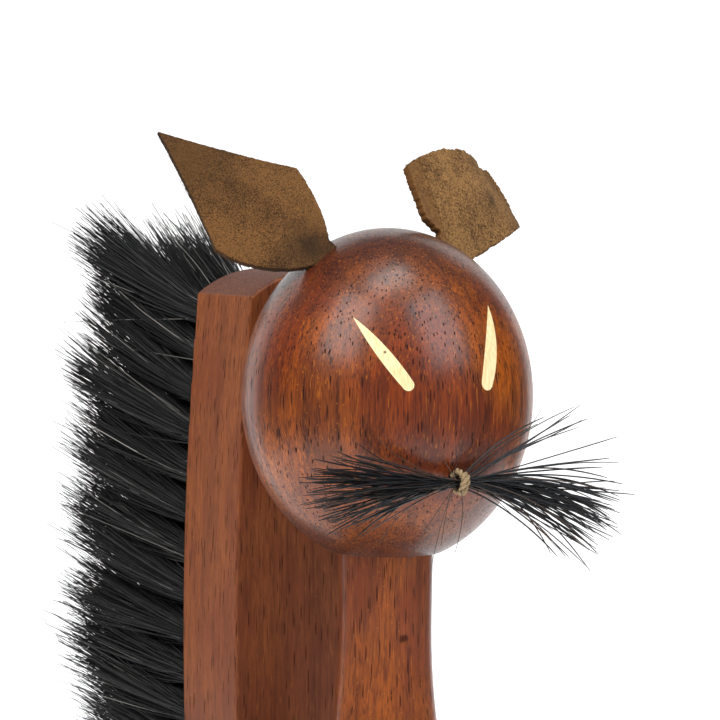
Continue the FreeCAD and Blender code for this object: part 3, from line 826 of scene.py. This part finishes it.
# ---------------------------------------------------------------- bristles
def half_width(height):
    """Half the block's width at a height: its sides are arcs, widest at mid length."""
    sag = (BLOCK_WIDTH - BLOCK_END_WIDTH) / 2
    radius = (block_half_length**2 + sag**2) / (2 * sag)
    away = np.minimum(np.abs(height - block_middle), block_half_length)
    return BLOCK_WIDTH / 2 - (radius - np.sqrt(radius**2 - away**2))


TOP_LEAN = {1: 0.56, 2: 0.66, 3: 0.47, 4: 0.20, 5: 0.05}    # upward lean of a row's top tuft
HAIRS_PER_TUFT = 390
LOCKS_PER_TUFT = 7
HAIR_RADIUS = 0.12 * MM
HAIR_STATIONS = 5
STRAY_SHARE = 0.018
PALE_SHARE = 0.03
# in millimetres: how deep a hair starts, its spread at its tip and half way, and its wave
ROOT_DEPTH = 0.8
TIP_SPREAD = 5.4
HALFWAY_SPREAD = 2.9
HAIR_WAVE = 0.35


def bristle_row(number, rng):
    """A row of tufts. Each hair starts somewhere in its hole's circle and ends at the same place of
    a wider circle at the tuft's tip, pulled together with its neighbours into small locks."""
    row, count = ROWS[number], TUFTS[number]
    heights = block_middle + (np.arange(count) - (count - 1) / 2) * TUFT_PITCH
    across = row * (half_width(heights) - ROW_EDGE)
    holes = np.stack([across, np.full(count, block_back), heights], 1)
    level = (heights - block_middle) / block_half_length
    upper = np.clip(level, 0, 1) ** 1.5
    rise = UP_SWEEP - 0.06 * row + np.minimum(level, 0) * END_FLARE
    rise = rise + (TOP_LEAN[number] - rise) * upper
    lean = np.stack([np.full(count, row * SIDE_SPLAY), np.ones(count), rise], 1)
    lean[:, [0, 2]] += rng.normal(0, 0.03, (count, 2))
    opening = 1 - upper**3 * min(0.1 + max(row, 0.0), 0.8)
    tuft = np.repeat(np.arange(count), HAIRS_PER_TUFT)
    hairs = len(tuft)
    angle = rng.uniform(0, 2 * np.pi, hairs)
    ring = np.sqrt(rng.uniform(0, 1, hairs))
    disc = np.stack([np.cos(angle) * ring, np.zeros(hairs), np.sin(angle) * ring], 1)
    start = holes[tuft] + disc * HOLE_RADIUS * 0.94 - BACKWARD * ROOT_DEPTH * MM
    lock = rng.integers(0, LOCKS_PER_TUFT, hairs) + tuft * LOCKS_PER_TUFT
    lock_place = rng.normal(0, 0.55, (count * LOCKS_PER_TUFT, 3)) * [1, 0, 1]
    lock_reach = rng.normal(0, 0.022, count * LOCKS_PER_TUFT)
    spread = disc * 0.75 + lock_place[lock] * 0.60 + rng.normal(0, 0.16, (hairs, 3)) * [1, 0, 1]
    spread[:, 2] *= opening[tuft]
    long = TUFT_LENGTH * (0.965 + lock_reach[lock] + rng.normal(0, 0.028, hairs) - 0.05 * ring**4)
    stray = rng.uniform(0, 1, hairs) < STRAY_SHARE
    long = long * np.where(stray, rng.uniform(0.9, 1.16, hairs), 1.0)
    wander = rng.normal(0, 1, (hairs, 3)) * [1, 0, 1] * np.where(stray, 5.0, 1.0)[:, None] * MM
    end = start + lean[tuft] * long[:, None] + spread * TIP_SPREAD * MM + wander
    pull = start + (lean[tuft] * [0.85, 1, 0.72]) * long[:, None] * 0.5
    pull += spread * HALFWAY_SPREAD * MM + rng.normal(0, 0.8, (hairs, 3)) * MM
    paths = bent(start, pull, end, HAIR_STATIONS, HAIR_WAVE * MM, rng)
    taper = np.array([1.0, 1.0, 0.95, 0.88, 0.5])
    thickness = HAIR_RADIUS * rng.uniform(0.75, 1.2, (hairs, 1))
    thickness = thickness * np.where(stray, 0.8, 1.0)[:, None]
    points, faces, per_rod = strands(paths, thickness * taper)
    pale = np.where(stray, rng.uniform(0.05, 0.9, hairs), 0.0)
    pale = np.where(rng.uniform(0, 1, hairs) < PALE_SHARE, rng.uniform(0.1, 0.5, hairs), pale)
    add_piece(f"bristles_{number}", points, faces, "brush", "bristle", finish["bristle"],
              (f"bristle_row_{number}",), attributes={"shade": np.repeat(pale, per_rod)})


def loose_bristles(rng):
    """A few long pale bristles that lie across the rest, each from a hole of the first row."""
    starts = np.array([15.0, 12.6, 19.6, 4.0, -9.0, -16.0, -27.0]) * MM + head_centre[2]
    reach = np.array([(-16.0, 40.0, 15.5), (-15.5, 38.5, -2.6), (0.0, 22.0, 11.5),
                      (-11.0, 30.0, 3.0), (-14.0, 31.0, 14.0), (-12.0, 33.0, -1.0),
                      (-13.0, 30.0, 8.0)]) * MM
    across = -(half_width(starts) - ROW_EDGE) - 1.2 * MM
    start = np.stack([across, np.full(len(starts), block_back), starts], 1)
    pull = start + reach * 0.5 + rng.normal(0, 0.9, reach.shape) * MM
    stations = 12
    paths = bent(start, pull, start + reach, stations, 0.5 * MM, rng)
    radii = np.full((len(starts), stations), 0.085 * MM) * np.linspace(1.0, 0.6, stations)
    points, faces, per_rod = strands(paths, radii)
    pale = rng.uniform(0.35, 0.85, len(starts))
    add_piece("bristles_loose", points, faces, "brush", "bristle", finish["bristle"],
              attributes={"shade": np.repeat(pale, per_rod)})


for number in ROWS:
    bristle_row(number, np.random.default_rng(100 + number))
loose_bristles(np.random.default_rng(110))


# ---------------------------------------------------------------- nose: whiskers and twine
def fan(angles, reach, narrowing, sideways, rng):
    """Tips of a fan in millimetres from the knot: a length at an angle above level, in degrees,
    shorter by narrowing times the angle's square, and a quarter of them cut shorter still."""
    length = reach - narrowing * angles**2 + rng.normal(0, 1.5, len(angles))
    cut = rng.uniform(0, 1, len(angles)) < 0.25
    length = length - np.where(cut, rng.uniform(0, 9, len(angles)), 0)
    rise = np.radians(angles)
    return np.stack([sideways * length * np.cos(rise), rng.uniform(-6.0, 1.0, len(angles)),
                     length * np.sin(rise)], 1)


def whiskers(rng):
    """Bristles tied at their middle. Each half hair leaves the knot sideways and bends to its own
    tip: on the cat's right a flat brush, on its left an arch that droops, and a few strays."""
    right_count, left_count, high_count = 92, 84, 11
    right = fan(rng.normal(-2.0, 10.0, right_count).clip(-25, 23), 31.0, 0.020, -1.0, rng)
    left = fan(rng.normal(-18.0, 9.0, left_count).clip(-36, 6), 31.2, 0.004, 1.06, rng)
    high = fan(rng.uniform(0, 38, high_count), 29.0, 0.006, 1.05, rng)
    tips = np.concatenate([right, left, high])
    count = len(tips)
    side = np.sign(tips[:, :1])
    start = rng.normal(0, 0.45, (count, 3)) * [0, 1, 1] + side * [0.2, 0, 0]
    rise = np.where(side > 0, rng.uniform(0.0, 3.5, (count, 1)), rng.uniform(-1.0, 1.5, (count, 1)))
    rise[len(right) + len(left):] = 3.0
    pull = tips * [0.5, 0.5, 0.28] + rise * [0, 0, 1] + rng.normal(0, 0.9, (count, 3))
    thick = rng.uniform(0.10, 0.155, (count, 1))
    shade = rng.uniform(0, 1, count) ** 8 * 0.4

    stray_tips = np.array([(-14.5, -5.0, -13.5), (-5.0, -6.0, -12.5), (-7.5, -6.5, -10.0),
                           (-9.0, -5.0, -14.5), (20.0, -2.0, -13.2), (8.5, -5.0, -5.5),
                           (-16.0, 1.0, 8.5), (16.5, -2.0, 13.5), (-5.5, -3.0, 5.0),
                           (-3.0, -4.0, 4.2), (-21.0, -6.0, -9.5)])
    strays = len(stray_tips)
    stray_side = np.sign(stray_tips[:, :1])
    stray_start = rng.normal(0, 0.45, (strays, 3)) * [0, 1, 1] + stray_side * [0.3, 0, 0]
    stray_pull = stray_tips * [0.65, 0.6, 0.3] + rng.normal(0, 1.2, (strays, 3))
    start = np.concatenate([start, stray_start])
    pull = np.concatenate([pull, stray_pull])
    tips = np.concatenate([tips, stray_tips])
    thick = np.concatenate([thick, np.full((strays, 1), 0.07)])
    shade = np.concatenate([shade, rng.uniform(0.2, 0.9, strays)])

    stations = 18
    paths = knot + bent(start, pull, tips, stations, 0.35, rng) * MM
    taper = np.concatenate([np.linspace(1.0, 0.95, stations - 3), [0.85, 0.7, 0.45]])
    points, faces, per_rod = strands(paths, thick * MM * taper, 4)
    add_piece("whiskers", points, faces, "stand", "bristle", finish["whisker"],
              ("whisker_bundle",), attributes={"shade": np.repeat(shade, per_rod)})


TWINE_TURNS = 1.35
PLY_TWIST = 1.9 * MM        # length of one turn of the plies


def twine():
    """Twine wound round the bundle, and its end let into the nose: each is two plies that twist
    about a path."""
    stations = 150
    t = np.linspace(0, 1, stations)
    turn = 2 * np.pi * (TWINE_TURNS * t - 0.2)
    ring = WHISKER_WAIST * 0.9 + TWINE_RADIUS * (0.8 + 0.10 * np.sin(5 * turn))
    sideways = (t - 0.5) * 0.9 * MM + 0.10 * MM * np.sin(3 * turn)
    path = knot + np.stack([sideways, -ring * np.cos(turn), ring * np.sin(turn)], 1)
    tail_stations = 60
    s = np.linspace(0, 1, tail_stations)[:, None]
    tail_start = knot - nose_normal * (WHISKER_WAIST * 0.6) + np.array([0.5, 0, 0]) * MM
    tail = tail_start + s * (nose - nose_normal * 3 * MM - tail_start)
    for name, line, replaced in (("twine_wraps", path, ("whisker_twine",)),
                                 ("twine_tail", tail, ())):
        lay_twine(name, line, replaced)


def lay_twine(name, line, replaced):
    """Two round plies side by side, twisted about the line."""
    along = np.gradient(line, axis=0)
    step = np.linalg.norm(along, axis=1)
    along /= step[:, None]
    helper = np.array([1.0, 0.0, 0.0])
    if np.abs(along @ helper).max() > 0.95:
        helper = UP
    first = np.cross(along, helper)
    first /= np.linalg.norm(first, axis=1, keepdims=True)
    second = np.cross(along, first)
    twist = 2 * np.pi * np.cumsum(step) / PLY_TWIST
    ply_radius = TWINE_RADIUS * 0.50
    offset = TWINE_RADIUS * 0.40
    plies = []
    for start in (0.0, np.pi):
        around = np.cos(twist + start)[:, None] * first + np.sin(twist + start)[:, None] * second
        plies.append(line + around * offset)
    radii = np.full((2, len(line)), ply_radius)
    points, faces, _ = strands(np.array(plies), radii, 8)
    add_piece(name, points, faces, "stand", "twine", finish["twine"], replaced)


whiskers(np.random.default_rng(21))
twine()


# ---------------------------------------------------------------- felt and the lacquer line
def felt_disc(rng):
    """A disc of felt: its edge section carried round a circle, the radius wavering a little."""
    centre = (felt_low + felt_high) / 2
    radius = (felt_high[0] - felt_low[0]) / 2
    thickness = felt_high[2] - felt_low[2]
    around = 360
    turn = 2 * np.pi * np.arange(around) / around
    waver = 1 + 0.0022 * smooth_noise(around, 80, rng)
    section = [(0.02, 0.0), (0.25, 0.0), (0.5, 0.0), (0.75, 0.0), (0.96, 0.0), (0.992, 0.04),
               (1.0, 0.25), (1.0, 0.5), (1.0, 0.78), (0.99, 1.0), (0.9, 1.0), (0.5, 1.0),
               (0.02, 1.0)]
    rings = []
    for share, level in section:
        out = radius * share * waver
        height = np.full(around, felt_low[2] + thickness * level)
        rings.append(np.stack([centre[0] + out * np.cos(turn), centre[1] + out * np.sin(turn),
                               height], 1))
    poles = [(centre[0], centre[1], felt_low[2]), (centre[0], centre[1], felt_high[2])]
    points, faces = shell(np.array(rings), *poles)
    add_piece("felt_disc", points, faces, "stand", "felt", finish["felt"], ("base_felt",))


def lacquer_line(rng):
    """A thin bead of lacquer round the neck joint: a small circle carried round the joint, its size
    changing with the angle."""
    around = 240
    turn = 2 * np.pi * np.arange(around) / around
    joint_radius = 8.78 * MM
    size = (0.11 + 0.07 * smooth_noise(around, 9, rng)) * MM
    sides = 8
    section = 2 * np.pi * np.arange(sides) / sides
    out = joint_radius + size[:, None] * np.cos(section)
    height = joint_height + size[:, None] * np.sin(section)
    points = np.stack([out * np.cos(turn)[:, None], out * np.sin(turn)[:, None], height], -1)
    quads = grid_faces(around, sides, True, True)[:, [0, 3, 2, 1]]
    add_piece("lacquer_line", points.reshape(-1, 3), [quads], "stand", "teak", finish["lacquer"])


felt_disc(np.random.default_rng(31))
lacquer_line(np.random.default_rng(32))

# ---------------------------------------------------------------- finishes of the CAD nodes
NODE_FINISH = {
    "base": "teak_base", "body": "teak_body", "head": "teak_head", "brush_block": "teak_block",
    "neck_dowel": "beech", "eye_left": "eye_inlay", "eye_right": "eye_inlay",
    "base_screw": "steel", "keeper_plate": "steel", "keeper_screw": "steel",
    "head_magnet": "magnet_plating",
}
NODE_FINISH.update({f"tuft_anchors_{number}": "anchor_wire" for number in ROWS})
for node, name in NODE_FINISH.items():
    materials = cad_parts[node].data.materials
    materials.clear()
    materials.append(finish[name])


# ---------------------------------------------------------------- studio
FLOOR_HALF = 6.0
SKY_STRENGTH = 1.2
DRAPE_RADIUS = 1.35


def studio():
    half = FLOOR_HALF
    corners = np.array([(-half, -half, 0), (half, -half, 0), (half, half, 0), (-half, half, 0)])
    floor = make_mesh("floor", corners, [np.array([[0, 1, 2, 3]])], smooth=False)
    floor.data.materials.append(finish["floor"])
    world = bpy.data.worlds.new("studio")
    bpy.context.scene.world = world
    world.use_nodes = True
    background = world.node_tree.nodes["Background"]
    background.inputs["Color"].default_value = (1.0, 1.0, 1.0, 1.0)
    background.inputs["Strength"].default_value = SKY_STRENGTH


def hang(name, points, columns):
    """Cloth through rows of points, which only throws shade or darkens reflections: the camera
    looks through it."""
    cloth = make_mesh(name, points, [grid_faces(len(points) // columns, columns)])
    cloth.data.materials.append(finish["drape"])
    cloth.visible_camera = False
    return cloth


def on_dome(azimuth, rise):
    """Rows of points on a sphere about the head: azimuth from straight ahead, rise upward."""
    a, e = np.meshgrid(azimuth, rise)
    outward = np.stack([np.sin(a) * np.cos(e), -np.cos(a) * np.cos(e), np.sin(e)], -1)
    return head_centre + DRAPE_RADIUS * outward.reshape(-1, 3)


def unlit(cloth):
    """Cloth that only the polish sees: it throws no shade."""
    cloth.visible_shadow = False
    cloth.visible_diffuse = False


def dark_drapes():
    """Dark cloth round the front of the table, part of a sphere about the head, and a flat dark
    cloth in front of the cat, so that the polish reflects no white there."""
    azimuth = np.radians(np.linspace(-154, 112, 40))
    hang("drape_wall", on_dome(azimuth, np.radians(np.linspace(-5.3, 80, 16))), 40)
    behind = np.radians(np.linspace(112, 206, 20))
    unlit(hang("drape_behind", on_dome(behind, np.radians(np.linspace(42, 80, 8))), 20))
    reach = np.linspace(0.30, 1.3, 5)[:, None, None]
    flat = reach * np.stack([np.sin(azimuth), -np.cos(azimuth), 0 * azimuth], -1)
    flat[..., 2] = 0.003
    unlit(hang("drape_table", flat.reshape(-1, 3), 40))


studio()
dark_drapes()
